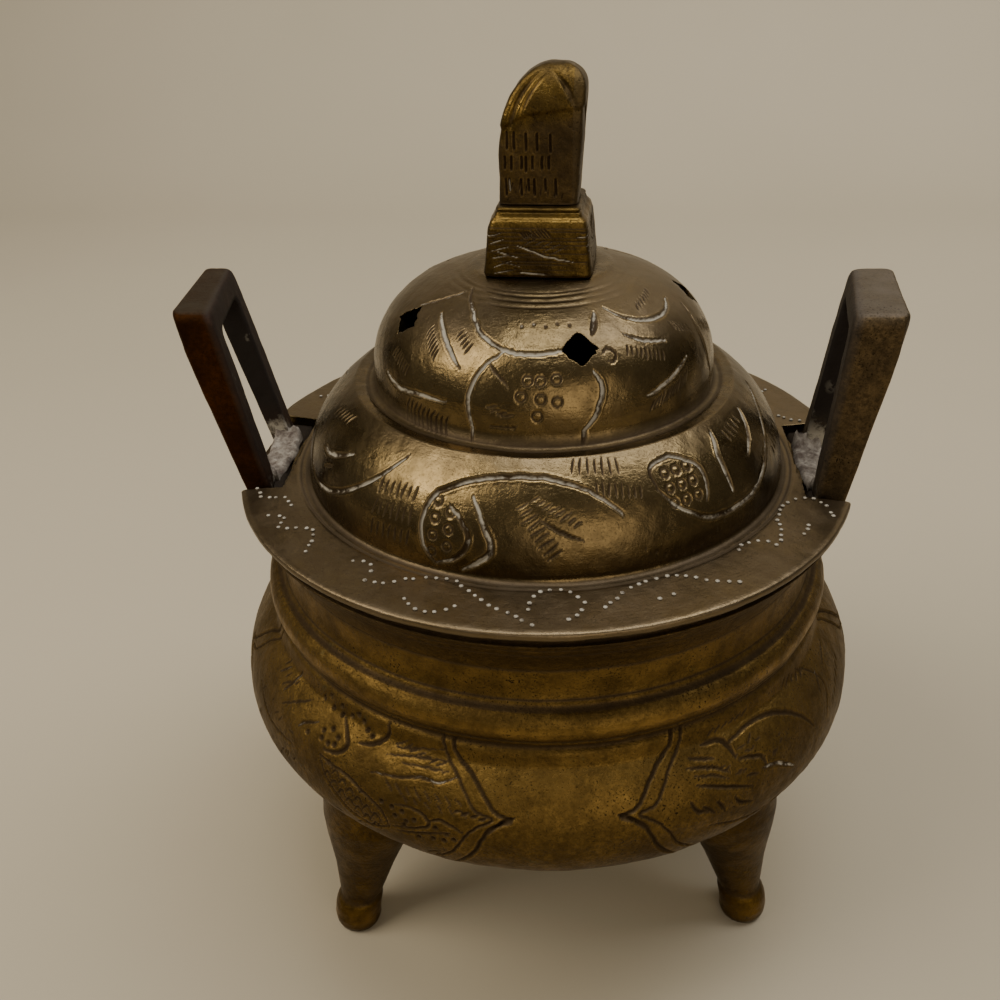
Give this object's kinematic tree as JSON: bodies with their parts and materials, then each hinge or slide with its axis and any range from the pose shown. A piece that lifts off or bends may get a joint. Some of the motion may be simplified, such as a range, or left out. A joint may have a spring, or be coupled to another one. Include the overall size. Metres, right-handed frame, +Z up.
{
  "type": "incense burner",
  "caption": "Aged brass covered tripod incense burner with engraved round bowl, leaning strap handles and a pierced two-tier lid with a square knob",
  "frame": {"origin": "Centre of the bounding box's underside, on the surface the feet stand on; the bowl's own axis is within a millimetre of it.", "axes": "+Z up, -Y towards the front that the picture shows, +X to the right, with a handle on each side."},
  "size_m": [0.1066, 0.1036, 0.1444],
  "materials": {
    "bowl_brass": "aged, engraved, semi-polished with dark patina",
    "lid_brass": "polished high spots, dull grey-brown flange, white residue in the engraving",
    "leg_brass": "aged, rubbed bright at the toes",
    "handle_left_brass": "dark reddish-brown tarnish",
    "handle_right_brass": "grey-brown tarnish",
    "finial_brass": "aged with bright rubbed edges and scratches",
    "screw_steel": "dull, lightly tarnished",
    "solder": "matte whitish-grey crust"
  },
  "bodies": {
    "bowl": {"bowl": "bowl_brass", "leg_front_left": "leg_brass", "leg_front_right": "leg_brass", "leg_back": "leg_brass", "leg_screws": "screw_steel", "handle_left": "handle_left_brass", "handle_right": "handle_right_brass", "handle_solder": "solder"},
    "lid": {"lid_shell": "lid_brass", "finial_pedestal": "finial_brass", "finial_knob": "finial_brass", "finial_screw": "screw_steel", "finial_washer": "screw_steel"}
  },
  "joints": [
    {"name": "lid_lift", "type": "slide", "parent": "bowl", "child": "lid", "axis": [0, 0, 1], "range_m": [0, 0.07]}
  ]
}
